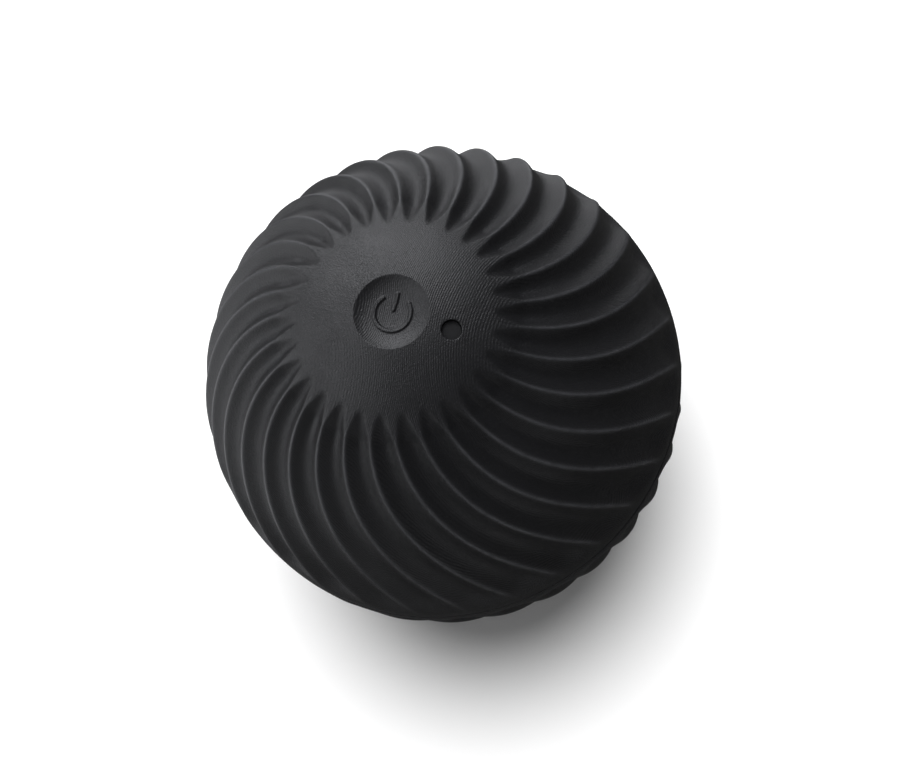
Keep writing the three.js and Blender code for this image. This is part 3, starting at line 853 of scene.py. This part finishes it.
def view_axes():
    """The camera's right, up and back directions."""
    back = Vector((math.sin(VIEW_AZIMUTH) * math.cos(VIEW_ELEVATION),
                   -math.cos(VIEW_AZIMUTH) * math.cos(VIEW_ELEVATION),
                   math.sin(VIEW_ELEVATION)))
    level = Vector((math.cos(VIEW_AZIMUTH), math.sin(VIEW_AZIMUTH), 0))
    right = level * math.cos(VIEW_ROLL) + back.cross(level) * math.sin(VIEW_ROLL)
    return right, back.cross(right), back


VIEW_RIGHT, VIEW_UP, VIEW_BACK = view_axes()


def from_view(right, up, back):
    """A direction or an offset given along the camera's right, up and back."""
    return VIEW_RIGHT * right + VIEW_UP * up + VIEW_BACK * back


def make_camera():
    """A long lens from the button's side, with the ball slightly off the picture's middle."""
    camera = bpy.data.objects.new("camera", bpy.data.cameras.new("camera"))
    bpy.context.collection.objects.link(camera)
    camera.data.lens = LENS_MM
    place = CENTRE + from_view(-BALL_OFF_MIDDLE[0], -BALL_OFF_MIDDLE[1], VIEW_DISTANCE)
    turn = Matrix((VIEW_RIGHT, VIEW_UP, VIEW_BACK)).transposed()
    camera.matrix_world = Matrix.Translation(place) @ turn.to_4x4()
    bpy.context.scene.camera = camera


def soft_sun(name, direction, angle, brightness):
    """A far softbox: a disc of that angle, which alone lights white paper facing it to brightness."""
    light = bpy.data.lights.new(name, "SUN")
    light.angle = math.radians(angle)
    light.energy = brightness * math.pi
    lamp = bpy.data.objects.new(name, light)
    bpy.context.collection.objects.link(lamp)
    lamp.rotation_mode = "QUATERNION"
    lamp.rotation_quaternion = Vector(direction).to_track_quat("Z", "Y")
    return lamp


def sheen_sun(name, direction, angle, brightness):
    """A softbox that shows only as sheen, so it leaves the floor and its shadow alone."""
    lamp = soft_sun(name, direction, angle, brightness)
    lamp.visible_diffuse = False
    lamp.data.color = SHEEN_COLOUR


def make_world():
    """Dim even fill light, with a white backdrop where the camera looks past the floor."""
    world = bpy.data.worlds.new("studio")
    world.use_nodes = True
    tree = world.node_tree
    background = tree.nodes["Background"]
    background.inputs["Color"].default_value = (1, 1, 1, 1)
    ray = tree.nodes.new("ShaderNodeLightPath").outputs
    strength = None
    for kind, brightness in (("Is Camera Ray", BACKDROP_BRIGHTNESS),
                             ("Is Diffuse Ray", FILL_BRIGHTNESS),
                             ("Is Glossy Ray", SHEEN_FILL_BRIGHTNESS)):
        step = tree.nodes.new("ShaderNodeMath")
        step.operation = "MULTIPLY_ADD"
        tree.links.new(ray[kind], step.inputs[0])
        step.inputs[1].default_value = brightness
        if strength:
            tree.links.new(strength, step.inputs[2])
        else:
            step.inputs[2].default_value = 0
        strength = step.outputs[0]
    tree.links.new(strength, background.inputs["Strength"])
    bpy.context.scene.world = world


def make_light():
    """One large softbox for the tones and the shadow, and others that show only in gloss."""
    key = soft_sun("key_softbox", KEY_DIRECTION, KEY_ANGLE, KEY_BRIGHTNESS)
    key.visible_glossy = False
    for name, direction, angle, brightness in SHEEN_LAMPS:
        sheen_sun(name, from_view(*direction), angle, brightness)
    make_world()
    bpy.context.scene.view_settings.view_transform = "Standard"


def make_floor():
    """A pale sheet of paper that takes the ball's shadow and isn't mirrored in its gloss."""
    finish = Finish("floor_paper", (0.93, 0.93, 0.93), 0.8)
    finish.vary_colour(finish.noise(0.4, 2), 0.995, 1.005)
    corners = [(x * FLOOR_HALF, y * FLOOR_HALF, 0)
               for x, y in ((-1, -1), (1, -1), (1, 1), (-1, 1))]
    floor = mesh_object("floor", corners, [(0, 1, 2, 3)], finish.material)
    floor.visible_glossy = False
    floor.visible_shadow = False


# ------------------------------------------------------------------ assembly

make_camera()
make_light()
make_floor()
finishes = make_finishes()
finish_cad_nodes(finishes)
make_upper_skin(finishes["silicone_black"])
make_lower_skin(finishes["silicone_black"])
make_dish(finishes["silicone_black"])
make_window_lens(finishes["window_plastic"])
